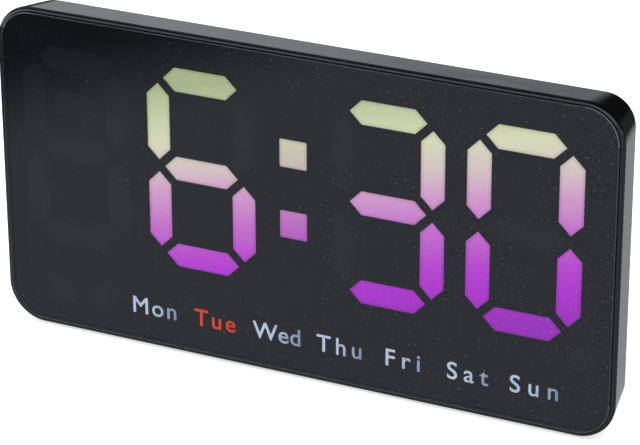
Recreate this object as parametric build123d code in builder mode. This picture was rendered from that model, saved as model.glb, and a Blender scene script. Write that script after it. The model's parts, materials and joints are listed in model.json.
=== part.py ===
from build123d import *
from math import asin, atan, cos, hypot, sin
import os

os.makedirs("parts", exist_ok=True)

# Body, in millimetres. X runs to the right, Y to the rear and Z up.
# The origin is on the table, in the middle of the foot strip, halfway through the body's depth.
body_width = 170
body_height = 88
body_depth = 13.4
corner_radius = 10.3
rear_inset = 2.5  # how far every side draws in from the rim to the back
wall = 1.6
rim_drop = 0.3  # how far the sloping rim falls back towards its outer edge
rim_fillet = 0.35
table_gap = 0.5  # from the table to the body's lowest edge

# Lens and the ledge that carries it
rim_face = 1.25
rim_flat = 0.15  # the level part of the rim, beside the lens
lens_gap = 0.15
lens_thickness = 1.5
lens_proud = 0.6  # how far the lens stands out of the rim
lens_chamfer = 0.2
tape_thickness = 0.2
tape_gap = 0.1
ledge_width = 3.25
ledge_thickness = 1.2

# Films behind the lens
film_gap = 0.05
film_thickness = 0.15
diffuser_thickness = 0.5
film_side_gap = 0.4

# Display: four digits, a colon and small legends. The digits fill what the margins leave.
left_margin = 7.05
right_margin = 9.85
top_margin = 9.75
bottom_margin = 7.5
digit_gap = 5.6
colon_gap = 21.1  # between the second and the third digit
legend_gap = 9.85  # between the digits and the weekday row
segment_stroke = 6.4
tip_gap = 1.6  # from a segment's point to the crossing of the strokes' centre lines
colon_side = 7.5
colon_corner = 0.6
colon_offset_share = 0.4  # of half a digit's height
legend_height = 6.6
weekday_count = 7
weekday_gap = 2.95
weekday_right_margin = 13.95
window_corner = 0.8
mark_side_gap = 2.4  # beside the oblong mark inside the first digit
mark_radius = 3.3
mark_gap = 4.5  # between the round marks and the weekday row
alarm_spread = 6.2  # the two alarm marks lie this far left and right of the first digit's middle
side_mark_offset = (3.5, 2.85)  # right of the last digit's stroke and below the digits

# Light wells
block_face = 1.2
block_depth = 4.15
flange_thickness = 1.0
flange_overlap = 1.3
flange_play = 0.1
well_wall = 0.9
guide_depth = 2.0
guide_gap = 0.05

# Circuit board and what is on it
board_thickness = 1.2
board_side_inset = 5.5  # from the body's left or right edge
board_end_inset = 6.5  # from the body's top or bottom edge
board_corner = 5
led_size = (2.0, 1.25)
led_height = 0.8
led_corner = 0.2
chip_height = 2.2
chip_clearance = 0.15
lead_width = 0.4
lead_thickness = 0.2
lead_pitch = 1.27
clock_chip_size = (17.9, 7.5)
driver_size = (15.4, 7.5)
lead_reach = 1.4
regulator_size = (6.5, 3.5)
regulator_height = 1.7
crystal_size = (6, 2)
passive_size = (1.6, 0.8)
passive_height = 0.6
passive_pitch = 2.4
resistor_count = 7
capacitor_size = (2.0, 3.2)
capacitor_height = 1.4
buzzer_radius = 6
buzzer_height = 3.5
buzzer_hole_radius = 1
sound_hole_radius = 0.7
sound_hole_ring = 3
sound_hole_count = 6

# Screws
boss_radius = 2.4
boss_gap = 0.5
rib_thickness = 1.4
boss_inset = 7  # from the body's top or bottom edge to a boss
boss_side_inset = 9  # from the body's left or right edge to a corner boss
cover_screw_radius = 1.0
cover_screw_length = 6
cover_screw_head = 1.9
screw_play = 0.1
board_screw_radius = 0.8
board_screw_length = 3.4
board_screw_head = 1.5
board_screw_head_height = 0.9
drive_slot = (0.4, 0.35)  # width and depth of a screw's cross
post_radius = 1.7
screw_row_share = 0.75  # of half a digit's height, above and below the digits' middle

# Rear cover
cover_wall = 1.6
cover_gap = 0.2
prop_radius = 2
prop_gap = 0.1
keyhole_side_inset = 25
keyhole_drop = 22  # below the body's top
keyhole_radius = 3.5
keyhole_slot_radius = 1.75
keyhole_length = 6
label_height = 14
label_side_inset = 15.5
label_pocket_gap = 7.1
label_corner = 1.5
label_thickness = 0.15

# Buttons
button_count = 4
button_pitch = 12
button_drop = 13  # below the body's top
button_radius = 2.5
button_side_gap = 0.2
button_proud = 0.8
button_edge = 0.3
button_travel = 0.5  # how far a press moves a button and its plunger
button_flange_radius = 3.4
button_flange = 0.8
button_back_gap = 0.1
switch_side = 6
switch_height = 2.4
switch_corner = 0.5
plunger_radius = 1.5
plunger_gap = 0.1
plunger_depth = 1.2  # how deep a plunger stands in its switch
plunger_end_gap = 0.2

# USB-C socket in the left side
socket_width = 8.94
socket_height = 3.26
socket_length = 7.3
socket_wall = 0.3
socket_back = 0.8
socket_rise = 20  # above the body's lowest edge
socket_recess = 0.4
socket_gap = 0.3
tongue_width = 6.69
tongue_thickness = 0.7
tongue_length = 4.8
socket_cut = 6

# Coin cell and its cap
cell_radius = 10
cell_height = 3.2
cell_drop = 8
cell_screw_gap = 2.75
contact_thickness = 0.4
contact_size = (14, 4)
holder_wall = 1.45
holder_gap = 0.15
holder_height = 3.1
clip_thickness = 0.25
clip_width = 4
clip_reach = 1.2
cap_radius = 11.8
cap_gap = 0.2
cap_face_radius = 13.8
cap_face = 0.8
cap_lug_reach = 1.4
cap_lug_width = 5
cap_lug_thickness = 0.6
cap_turn = 30  # degrees from locked to free
lug_count = 3
notch_play = 0.3
coin_slot = (14, 1.8)
coin_slot_depth = 0.8

# Stand leg on the back, modelled folded out
leg_width = 56
leg_top_gap = 1.5  # between the folded leg's end and the body's middle
leg_thickness = 2.4
leg_corner = 5
leg_panel_inset = 5
leg_panel_depth = 0.6
barrel_radius = 1.5
hinge_height = 9  # above the table
hinge_depth = 11.8  # behind the rim
pin_radius = 0.7
pin_play = 0.05
pocket_side_gap = 0.4
pocket_end_gap = 4
pocket_foot_gap = 0.4
pocket_depth = 3.4
pocket_wall = 1.2
ear_width = 3
ear_half_height = 2.2
pad_width = 44
pad_length = 6
pad_thin_end = 0.8
pad_setback = 1.0

# Rubber strip under the body
strip_width = 110
strip_depth = 8

# Places that follow from the sizes above
body_middle = table_gap + body_height / 2
half_depth = body_depth / 2
lens_front = -lens_proud
lens_back = lens_front + lens_thickness
ledge_front = lens_back + tape_thickness
ledge_back = ledge_front + ledge_thickness
mask_front = lens_back + film_gap
gradient_front = mask_front + film_thickness
diffuser_front = gradient_front + film_thickness
block_front = diffuser_front + diffuser_thickness
board_front = block_front + block_depth
board_back = board_front + board_thickness
cover_front = body_depth - cover_wall
flange_front = ledge_back + flange_play
lens_inset = rim_face + lens_gap
window_inset = rim_face + ledge_width
block_inset = window_inset + film_side_gap
board_size = (body_width - 2 * board_side_inset, body_height - 2 * board_end_inset)
digit_width = (body_width - left_margin - right_margin - 2 * digit_gap - colon_gap) / 4
digit_height = body_height - top_margin - legend_gap - legend_height - bottom_margin
digit_half_width = (digit_width - segment_stroke) / 2
digit_half_height = (digit_height - segment_stroke) / 2
digit_pitch = digit_width + digit_gap
display_shift = (left_margin - right_margin) / 2
display_rise = body_height / 2 - top_margin - digit_height / 2
pair_offset = (colon_gap + digit_width + digit_pitch) / 2
digit_middles = [display_shift + side * pair_offset + step * digit_pitch / 2
                 for side in (-1, 1) for step in (-1, 1)]
# Each segment's place, turn and length
segment_places = [(0, rise * digit_half_height, 0, 2 * (digit_half_width - tip_gap))
                  for rise in (1, 0, -1)]
segment_places += [(side * digit_half_width, rise * digit_half_height / 2, 90,
                    digit_half_height - 2 * tip_gap)
                   for side in (-1, 1) for rise in (1, -1)]
colon_offset = colon_offset_share * digit_half_height
weekday_height = -body_height / 2 + bottom_margin + legend_height / 2
weekday_left = digit_middles[0] + alarm_spread + mark_radius + mark_gap
weekday_right = body_width / 2 - weekday_right_margin
weekday_pitch = (weekday_right - weekday_left + weekday_gap) / weekday_count
weekday_window = (weekday_pitch - weekday_gap, legend_height)
weekday_middles = [weekday_left + weekday_window[0] / 2 + day * weekday_pitch
                   for day in range(weekday_count)]
mark_window = (digit_width - 2 * segment_stroke - 2 * mark_side_gap, legend_height)
boss_height = body_height / 2 - boss_inset
boss_places = [(side * (body_width / 2 - boss_side_inset), end * boss_height)
               for side in (-1, 1) for end in (-1, 1)]
pair_middles = [display_shift + side * pair_offset for side in (-1, 1)]
boss_places += [(middle, boss_height) for middle in pair_middles]
board_screw_places = [(middle, display_rise + side * screw_row_share * digit_half_height)
                      for middle in pair_middles for side in (-1, 1)]
board_screw_places += [(display_shift, display_rise)]
button_rise = body_height / 2 - button_drop
button_places = [((number - (button_count - 1) / 2) * button_pitch, button_rise)
                 for number in range(button_count)]
holder_radius = cell_radius + holder_gap
cell_place = (
    pair_middles[1] + board_screw_head + cell_screw_gap + holder_radius + holder_wall, -cell_drop
)


# A plane parallel to the face, some way behind the rim, facing the viewer.
def at_depth(depth):
    return Plane(origin=(0, depth - half_depth, body_middle), x_dir=(1, 0, 0), z_dir=(0, -1, 0))


# The body's outline at a depth, drawn in by an even inset.
def outline(depth, inset):
    drawn_in = rear_inset * depth / body_depth + inset
    with BuildSketch(at_depth(depth)) as shape:
        RectangleRounded(
            body_width - 2 * drawn_in, body_height - 2 * drawn_in, corner_radius - drawn_in
        )
    return shape.sketch


# A solid between two depths that follows the body's draft.
def drafted(front, back, inset, mode=Mode.ADD):
    loft(sections=[outline(front, inset), outline(back, inset)], ruled=True, mode=mode)


# A rounded panel with straight sides, a given inset inside the rim.
def panel(inset, mode=Mode.ADD):
    width, height = body_width - 2 * inset, body_height - 2 * inset
    RectangleRounded(width, height, corner_radius - inset, mode=mode)


# A six-sided segment with square points.
def segment(length, stroke, rotation=0):
    tip, flat, half = length / 2, (length - stroke) / 2, stroke / 2
    points = [(-tip, 0), (-flat, -half), (flat, -half), (tip, 0), (flat, half), (-flat, half)]
    Polygon(*points, rotation=rotation)


# The seven segments of one digit, all larger or smaller by the same margin.
def digit(middle, margin=0):
    for x, z, turn, length in segment_places:
        with Locations((middle + x, display_rise + z)):
            segment(length + 2 * margin, segment_stroke + 2 * margin, turn)


def colon(margin=0):
    with Locations(*[(display_shift, display_rise + side * colon_offset) for side in (1, -1)]):
        side = colon_side + 2 * margin
        RectangleRounded(side, side, colon_corner + margin)


def weekdays(margin=0):
    with Locations(*[(middle, weekday_height) for middle in weekday_middles]):
        RectangleRounded(
            weekday_window[0] + 2 * margin, weekday_window[1] + 2 * margin, window_corner + margin
        )


# Places of the three round status marks.
def mark_places():
    alarms = [(digit_middles[0] + side * alarm_spread, weekday_height) for side in (-1, 1)]
    right, below = side_mark_offset
    side_mark = (digit_middles[-1] + digit_half_width + right, display_rise - digit_height / 2 - below)
    return alarms + [side_mark]


def marks(margin=0):
    with Locations((digit_middles[0], display_rise + digit_half_height / 2)):
        RectangleRounded(
            mark_window[0] + 2 * margin, mark_window[1] + 2 * margin, window_corner + margin
        )
    with Locations(*mark_places()):
        Circle(mark_radius + margin)


def all_windows(margin=0):
    for middle in digit_middles:
        digit(middle, margin)
    colon(margin)
    weekdays(margin)
    marks(margin)


# Room for the housing's screw bosses and their ribs.
def boss_notches():
    with Locations(*boss_places):
        Circle(boss_radius + boss_gap, mode=Mode.SUBTRACT)
    for x, z in boss_places:
        side = 1 if z > 0 else -1
        with Locations((x, z + side * boss_inset / 2)):
            Rectangle(rib_thickness + 2 * boss_gap, boss_inset, mode=Mode.SUBTRACT)


# A place on the board, as shares of its width and height from the middle.
def on_board(shares):
    return (board_size[0] * shares[0], board_size[1] * shares[1])


def save(piece, name):
    piece.part.label = name
    export_step(piece.part, f"parts/{name}.step")


# Front frame: tapered housing with the lens seat, the ledge and the screw bosses
with BuildPart() as front_frame:
    drafted(rim_drop, body_depth, 0)
    loft(sections=[outline(0, rim_face - rim_flat), outline(rim_drop, 0)], ruled=True)
    fillet(front_frame.edges().group_by(Axis.Y)[2], rim_fillet)
    with BuildSketch(at_depth(0)):
        panel(rim_face)
    extrude(amount=-ledge_front, mode=Mode.SUBTRACT)
    with BuildSketch(at_depth(0)):
        panel(window_inset)
    extrude(amount=-body_depth, mode=Mode.SUBTRACT)
    drafted(ledge_back, body_depth, wall, mode=Mode.SUBTRACT)
    with BuildSketch(at_depth(cover_front)):
        with Locations(*boss_places):
            Circle(boss_radius)
        for x, z in boss_places:
            side = 1 if z > 0 else -1
            with Locations((x, z + side * boss_inset / 2)):
                Rectangle(rib_thickness, boss_inset)
    extrude(amount=cover_front - ledge_back)
    drafted(0, body_depth, 0, mode=Mode.INTERSECT)
    with BuildSketch(at_depth(cover_front)):
        with Locations(*boss_places):
            Circle(cover_screw_radius)
    extrude(amount=cover_screw_length, mode=Mode.SUBTRACT)
    socket_middle = board_back + socket_height / 2
    side_plane = Plane(
        origin=(-body_width / 2, socket_middle - half_depth, table_gap + socket_rise),
        x_dir=(0, 0, 1),
        z_dir=(-1, 0, 0),
    )
    with BuildSketch(side_plane):
        SlotOverall(socket_width + 2 * socket_gap, socket_height + 2 * socket_gap)
    extrude(amount=-socket_cut, mode=Mode.SUBTRACT)
save(front_frame, "front_frame")

# Lens panel, standing proud of the rim with a fine bevel
with BuildPart() as lens_panel:
    with BuildSketch(at_depth(lens_back)):
        panel(lens_inset)
    extrude(amount=lens_thickness)
    chamfer(lens_panel.faces().sort_by(Axis.Y)[0].edges(), lens_chamfer)
save(lens_panel, "lens_panel")

with BuildPart() as lens_tape:
    with BuildSketch(at_depth(ledge_front)):
        panel(lens_inset + tape_gap)
        panel(window_inset, Mode.SUBTRACT)
    extrude(amount=tape_thickness)
save(lens_tape, "lens_tape")

# Films: black mask with the display's windows, colour gradient, diffuser
with BuildPart() as mask_film:
    with BuildSketch(at_depth(gradient_front)):
        panel(block_inset)
    extrude(amount=film_thickness)
    with BuildSketch(at_depth(gradient_front)):
        all_windows()
    extrude(amount=film_thickness, mode=Mode.SUBTRACT)
save(mask_film, "mask_film")

with BuildPart() as gradient_film:
    with BuildSketch(at_depth(diffuser_front)):
        panel(block_inset)
    extrude(amount=film_thickness)
save(gradient_film, "gradient_film")

with BuildPart() as diffuser_sheet:
    with BuildSketch(at_depth(block_front)):
        panel(block_inset)
    extrude(amount=diffuser_thickness)
save(diffuser_sheet, "diffuser_sheet")

# Segment reflector: a face plate with a flange behind the ledge and a light well for each window
with BuildPart() as segment_reflector:
    with BuildSketch(at_depth(block_front + block_face)):
        panel(block_inset)
        boss_notches()
    extrude(amount=block_face)
    with BuildSketch(at_depth(flange_front + flange_thickness)):
        panel(window_inset - flange_overlap)
        boss_notches()
    extrude(amount=flange_thickness)
    with BuildSketch(at_depth(board_front)):
        all_windows(well_wall)
        with Locations(*board_screw_places):
            Circle(post_radius)
    extrude(amount=block_depth)
    with BuildSketch(at_depth(board_front)):
        all_windows()
    extrude(amount=block_depth, mode=Mode.SUBTRACT)
    with BuildSketch(at_depth(board_front)):
        with Locations(*board_screw_places):
            Circle(board_screw_radius)
    extrude(amount=board_screw_length - board_thickness, mode=Mode.SUBTRACT)
save(segment_reflector, "segment_reflector")

# Light guides, cast into the mouths of the wells
digit_names = ["hour_tens_segments", "hour_segments", "minute_tens_segments", "minute_segments"]
for name, middle in zip(digit_names, digit_middles):
    with BuildPart() as digit_guides:
        with BuildSketch(at_depth(block_front + guide_depth)):
            digit(middle, -guide_gap)
        extrude(amount=guide_depth)
    save(digit_guides, name)

guide_groups = {"colon_dots": colon, "weekday_windows": weekdays, "status_windows": marks}
for name, windows in guide_groups.items():
    with BuildPart() as guides:
        with BuildSketch(at_depth(block_front + guide_depth)):
            windows(-guide_gap)
        extrude(amount=guide_depth)
    save(guides, name)

# Main board, notched round the bosses
with BuildPart() as main_board:
    with BuildSketch(at_depth(board_back)):
        RectangleRounded(*board_size, board_corner)
        boss_notches()
        with Locations(*board_screw_places):
            Circle(board_screw_radius + screw_play, mode=Mode.SUBTRACT)
    extrude(amount=board_thickness)
save(main_board, "main_board")

# LEDs on the board's front: two behind each segment, one behind each small window
with BuildPart() as segment_leds:
    with BuildSketch(at_depth(board_front)):
        for middle in digit_middles:
            for x, z, turn, length in segment_places:
                along = (1, 0) if turn == 0 else (0, 1)
                for side in (-1, 1):
                    step = side * length / 4
                    place = (middle + x + along[0] * step, display_rise + z + along[1] * step)
                    with Locations(place):
                        RectangleRounded(*led_size, led_corner, rotation=turn)
    extrude(amount=led_height)
save(segment_leds, "segment_leds")

with BuildPart() as legend_leds:
    with BuildSketch(at_depth(board_front)):
        places = [(display_shift, display_rise + side * colon_offset) for side in (1, -1)]
        places += [(middle, weekday_height) for middle in weekday_middles]
        places += [(digit_middles[0], display_rise + digit_half_height / 2)] + mark_places()
        with Locations(*places):
            RectangleRounded(*led_size, led_corner)
    extrude(amount=led_height)
save(legend_leds, "legend_leds")

with BuildPart() as board_screws:
    with BuildSketch(at_depth(board_back)):
        with Locations(*board_screw_places):
            Circle(board_screw_radius)
    extrude(amount=board_screw_length)
    with BuildSketch(at_depth(board_back + board_screw_head_height)):
        with Locations(*board_screw_places):
            Circle(board_screw_head)
    extrude(amount=board_screw_head_height)
    with BuildSketch(at_depth(board_back + board_screw_head_height)):
        with Locations(*board_screw_places):
            Rectangle(board_screw_head, drive_slot[0])
            Rectangle(drive_slot[0], board_screw_head)
    extrude(amount=drive_slot[1], mode=Mode.SUBTRACT)
save(board_screws, "board_screws")


# A flat chip on the board's back with a row of leads along each long side.
def chip(place, size):
    with BuildSketch(at_depth(board_back + chip_clearance + chip_height)) as body:
        with Locations(place):
            Rectangle(*size)
    extrude(body.sketch, amount=chip_height)
    lead_count = int(size[0] / lead_pitch)
    lead_back = board_back + chip_clearance + chip_height / 2
    with BuildSketch(at_depth(lead_back)) as arms:
        with Locations(place):
            with GridLocations(lead_pitch, size[1] + lead_reach, lead_count, 2):
                Rectangle(lead_width, lead_reach)
    extrude(arms.sketch, amount=lead_thickness)
    with BuildSketch(at_depth(lead_back)) as legs:
        with Locations(place):
            with GridLocations(lead_pitch, size[1] + 2 * lead_reach, lead_count, 2):
                Rectangle(lead_width, lead_width)
    extrude(legs.sketch, amount=lead_back - board_back)


clock_chip_shares = (0, 0.22)
driver_shares = [(-0.2, 0.22), (0.2, 0.22)]
with BuildPart() as clock_chip:
    chip(on_board(clock_chip_shares), clock_chip_size)
save(clock_chip, "clock_chip")

with BuildPart() as display_drivers:
    for shares in driver_shares:
        chip(on_board(shares), driver_size)
save(display_drivers, "display_drivers")

regulator_shares = (-0.39, -0.33)
with BuildPart() as power_regulator:
    with BuildSketch(at_depth(board_back + regulator_height)):
        with Locations(on_board(regulator_shares)):
            Rectangle(*regulator_size)
    extrude(amount=regulator_height)
    with BuildSketch(at_depth(board_back + lead_thickness)):
        with Locations(on_board(regulator_shares)):
            Rectangle(regulator_size[0] / 2, regulator_size[1] + 2 * lead_reach)
    extrude(amount=lead_thickness)
save(power_regulator, "power_regulator")

# Crystal: a small can lying along the board
crystal_shares = (0.07, 0.085)
with BuildPart() as crystal:
    x, z = on_board(crystal_shares)
    can_plane = Plane(
        origin=(x, board_back + crystal_size[1] / 2 - half_depth, body_middle + z),
        x_dir=(0, 1, 0),
        z_dir=(1, 0, 0),
    )
    with BuildSketch(can_plane):
        Circle(crystal_size[1] / 2)
    extrude(amount=crystal_size[0])
save(crystal, "crystal")

resistor_shares = [(-0.2, 0.1), (0.2, 0.1)]
with BuildPart() as chip_resistors:
    with BuildSketch(at_depth(board_back + passive_height)):
        with Locations(*[on_board(shares) for shares in resistor_shares]):
            with GridLocations(passive_pitch, passive_pitch, resistor_count, 1):
                Rectangle(passive_size[1], passive_size[0])
    extrude(amount=passive_height)
save(chip_resistors, "chip_resistors")

capacitor_shares = [(-0.33, -0.33), (-0.3, -0.33), (-0.09, 0.1), (0.28, -0.42)]
with BuildPart() as chip_capacitors:
    with BuildSketch(at_depth(board_back + capacitor_height)):
        with Locations(*[on_board(shares) for shares in capacitor_shares]):
            Rectangle(*capacitor_size)
    extrude(amount=capacitor_height)
save(chip_capacitors, "chip_capacitors")

buzzer_shares = (-0.35, -0.08)
with BuildPart() as buzzer:
    with BuildSketch(at_depth(board_back + buzzer_height)):
        with Locations(on_board(buzzer_shares)):
            Circle(buzzer_radius)
    extrude(amount=buzzer_height)
    with BuildSketch(at_depth(board_back + buzzer_height)):
        with Locations(on_board(buzzer_shares)):
            Circle(buzzer_hole_radius)
    extrude(amount=buzzer_height / 2, mode=Mode.SUBTRACT)
save(buzzer, "buzzer")

# Tact switches, each with a well for its plunger
switch_back = board_back + switch_height
with BuildPart() as tact_switches:
    with BuildSketch(at_depth(switch_back)):
        with Locations(*button_places):
            RectangleRounded(switch_side, switch_side, switch_corner)
    extrude(amount=switch_height)
    with BuildSketch(at_depth(switch_back)):
        with Locations(*button_places):
            Circle(plunger_radius + plunger_gap)
    extrude(amount=plunger_depth + button_travel + plunger_end_gap, mode=Mode.SUBTRACT)
save(tact_switches, "tact_switches")

# Buttons: a cap with a flange behind the cover, and the switch plunger that it pushes
flange_back = cover_front - button_back_gap
button_names = ["mode", "alarm", "up", "down"]
for name, place in zip(button_names, button_places):
    with BuildPart() as button:
        with BuildSketch(at_depth(flange_back)):
            with Locations(place):
                Circle(button_flange_radius)
        extrude(amount=button_flange)
        with BuildSketch(at_depth(body_depth + button_proud)):
            with Locations(place):
                Circle(button_radius)
        extrude(amount=body_depth + button_proud - flange_back)
        fillet(button.faces().sort_by(Axis.Y)[-1].edges(), button_edge)
    save(button, f"{name}_button")
    with BuildPart() as plunger:
        with BuildSketch(at_depth(flange_back - button_flange)):
            with Locations(place):
                Circle(plunger_radius)
        extrude(amount=flange_back - button_flange - switch_back + plunger_depth)
    save(plunger, f"{name}_plunger")

# USB-C socket: a flat tube closed at its inner end, with a contact tongue
mouth_inset = rear_inset * socket_middle / body_depth + socket_recess
mouth_plane = side_plane.offset(-mouth_inset)
with BuildPart() as usb_socket:
    with BuildSketch(mouth_plane):
        SlotOverall(socket_width, socket_height)
    extrude(amount=-socket_length)
    with BuildSketch(mouth_plane):
        SlotOverall(socket_width - 2 * socket_wall, socket_height - 2 * socket_wall)
    extrude(amount=-(socket_length - socket_back), mode=Mode.SUBTRACT)
save(usb_socket, "usb_socket")

with BuildPart() as usb_tongue:
    with BuildSketch(mouth_plane.offset(-(socket_length - socket_back))):
        Rectangle(tongue_width, tongue_thickness)
    extrude(amount=tongue_length)
save(usb_tongue, "usb_tongue")

# Coin cell between its contacts, in a ring on the board
cell_front = board_back + contact_thickness
cell_back = cell_front + cell_height
with BuildPart() as cell_holder:
    with BuildSketch(at_depth(board_back + holder_height)):
        with Locations(cell_place):
            Circle(holder_radius + holder_wall)
            Circle(holder_radius, mode=Mode.SUBTRACT)
    extrude(amount=holder_height)
save(cell_holder, "cell_holder")

with BuildPart() as cell_contacts:
    with BuildSketch(at_depth(cell_front)):
        with Locations(cell_place):
            Rectangle(*contact_size)
    extrude(amount=contact_thickness)
    clip_middle = holder_radius + holder_wall / 2
    with BuildSketch(at_depth(cell_back + clip_thickness)):
        with Locations((cell_place[0], cell_place[1] + clip_middle - clip_reach / 2)):
            Rectangle(clip_width, holder_wall + clip_reach)
    extrude(amount=clip_thickness)
    with BuildSketch(at_depth(cell_back)):
        with Locations((cell_place[0], cell_place[1] + clip_middle)):
            Rectangle(clip_width, holder_wall / 2)
    extrude(amount=cell_back - board_back - holder_height)
save(cell_contacts, "cell_contacts")

with BuildPart() as coin_cell:
    with BuildSketch(at_depth(cell_back)):
        with Locations(cell_place):
            Circle(cell_radius)
    extrude(amount=cell_height)
    fillet(coin_cell.edges().group_by(Axis.Y)[0], contact_thickness)
save(coin_cell, "coin_cell")

# Battery cap: three lugs behind the cover's edge, a face that covers the notches, a coin slot
cap_front = cover_front - cap_gap - cap_lug_thickness
lug_radius = cap_radius + cap_lug_reach / 2
with BuildPart() as battery_cap:
    with BuildSketch(at_depth(body_depth)):
        with Locations(cell_place):
            Circle(cap_face_radius)
    extrude(amount=cap_face)
    with BuildSketch(at_depth(body_depth - cap_face)):
        with Locations(cell_place):
            Circle(cap_radius)
    extrude(amount=body_depth - cap_face - cap_front)
    with BuildSketch(at_depth(cap_front + cap_lug_thickness)):
        with Locations(cell_place):
            with PolarLocations(lug_radius - cap_lug_reach / 2, lug_count):
                Rectangle(2 * cap_lug_reach, cap_lug_width)
    extrude(amount=cap_lug_thickness)
    with BuildSketch(at_depth(body_depth)):
        with Locations(cell_place):
            SlotOverall(*coin_slot)
    extrude(amount=coin_slot_depth, mode=Mode.SUBTRACT)
save(battery_cap, "battery_cap")

# The folded leg ends below the body's middle. Folded out it leans until its pad meets the table,
# so its angle follows from the hinge's height.
leg_length = body_middle - hinge_height - leg_top_gap
reach = hypot(leg_length, leg_thickness / 2)
lean = asin((hinge_height - pad_thin_end) / reach) - atan(leg_thickness / 2 / leg_length)
hinge_y = hinge_depth - half_depth
leg_plane = Plane(
    origin=(0, hinge_y, hinge_height), x_dir=(1, 0, 0), z_dir=(0, sin(lean), cos(lean))
)
hinge_plane = Plane(origin=(0, hinge_y, hinge_height), x_dir=(0, 1, 0), z_dir=(1, 0, 0))

with BuildPart() as stand_leg:
    with BuildSketch(leg_plane.offset(-leg_thickness / 2)) as leg_shape:
        with Locations((0, leg_length / 2)):
            Rectangle(leg_width, leg_length)
        fillet(leg_shape.vertices().group_by(Axis.Y)[-1], leg_corner)
    extrude(amount=leg_thickness)
    with BuildSketch(leg_plane.offset(leg_thickness / 2)):
        with Locations((0, leg_length / 2)):
            panel_size = (leg_width - 2 * leg_panel_inset, leg_length - 2 * leg_panel_inset)
            RectangleRounded(*panel_size, leg_corner / 2)
    extrude(amount=-leg_panel_depth, mode=Mode.SUBTRACT)
    with BuildSketch(hinge_plane):
        Circle(barrel_radius)
    extrude(amount=leg_width / 2, both=True)
    with BuildSketch(hinge_plane):
        Circle(pin_radius + pin_play)
    extrude(amount=leg_width / 2, both=True, mode=Mode.SUBTRACT)
save(stand_leg, "stand_leg")

# Hinge pin, from inside one ear to inside the other
pocket_width = leg_width + 2 * pocket_side_gap
pin_half_length = pocket_width / 2 + ear_width - pocket_side_gap
with BuildPart() as stand_pin:
    with BuildSketch(hinge_plane):
        Circle(pin_radius)
    extrude(amount=pin_half_length, both=True)
save(stand_pin, "stand_pin")

# Rubber pad under the leg's end: its top follows the leg, its bottom lies on the table
pad_far = leg_length - pad_setback
pad_near = pad_far - pad_length
under_leg = [
    (hinge_y + along * cos(lean) - leg_thickness / 2 * sin(lean),
     hinge_height - along * sin(lean) - leg_thickness / 2 * cos(lean))
    for along in (pad_near, pad_far)
]
table_plane = Plane(origin=(0, 0, 0), x_dir=(0, 1, 0), z_dir=(1, 0, 0))
with BuildPart() as stand_pad:
    with BuildSketch(table_plane):
        with BuildLine():
            Polyline(under_leg[0], under_leg[1], (under_leg[1][0], 0), (under_leg[0][0], 0), close=True)
        make_face()
    extrude(amount=pad_width / 2, both=True)
save(stand_pad, "stand_pad")

# Foot strip: a wedge between the body's sloping underside and the table
with BuildPart() as foot_strip:
    strip_edges = [half_depth + side * strip_depth / 2 for side in (-1, 1)]
    tops = [table_gap + rear_inset * depth / body_depth for depth in strip_edges]
    front_y, back_y = [depth - half_depth for depth in strip_edges]
    with BuildSketch(table_plane):
        with BuildLine():
            Polyline((front_y, 0), (back_y, 0), (back_y, tops[1]), (front_y, tops[0]), close=True)
        make_face()
    extrude(amount=strip_width / 2, both=True)
save(foot_strip, "foot_strip")

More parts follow.
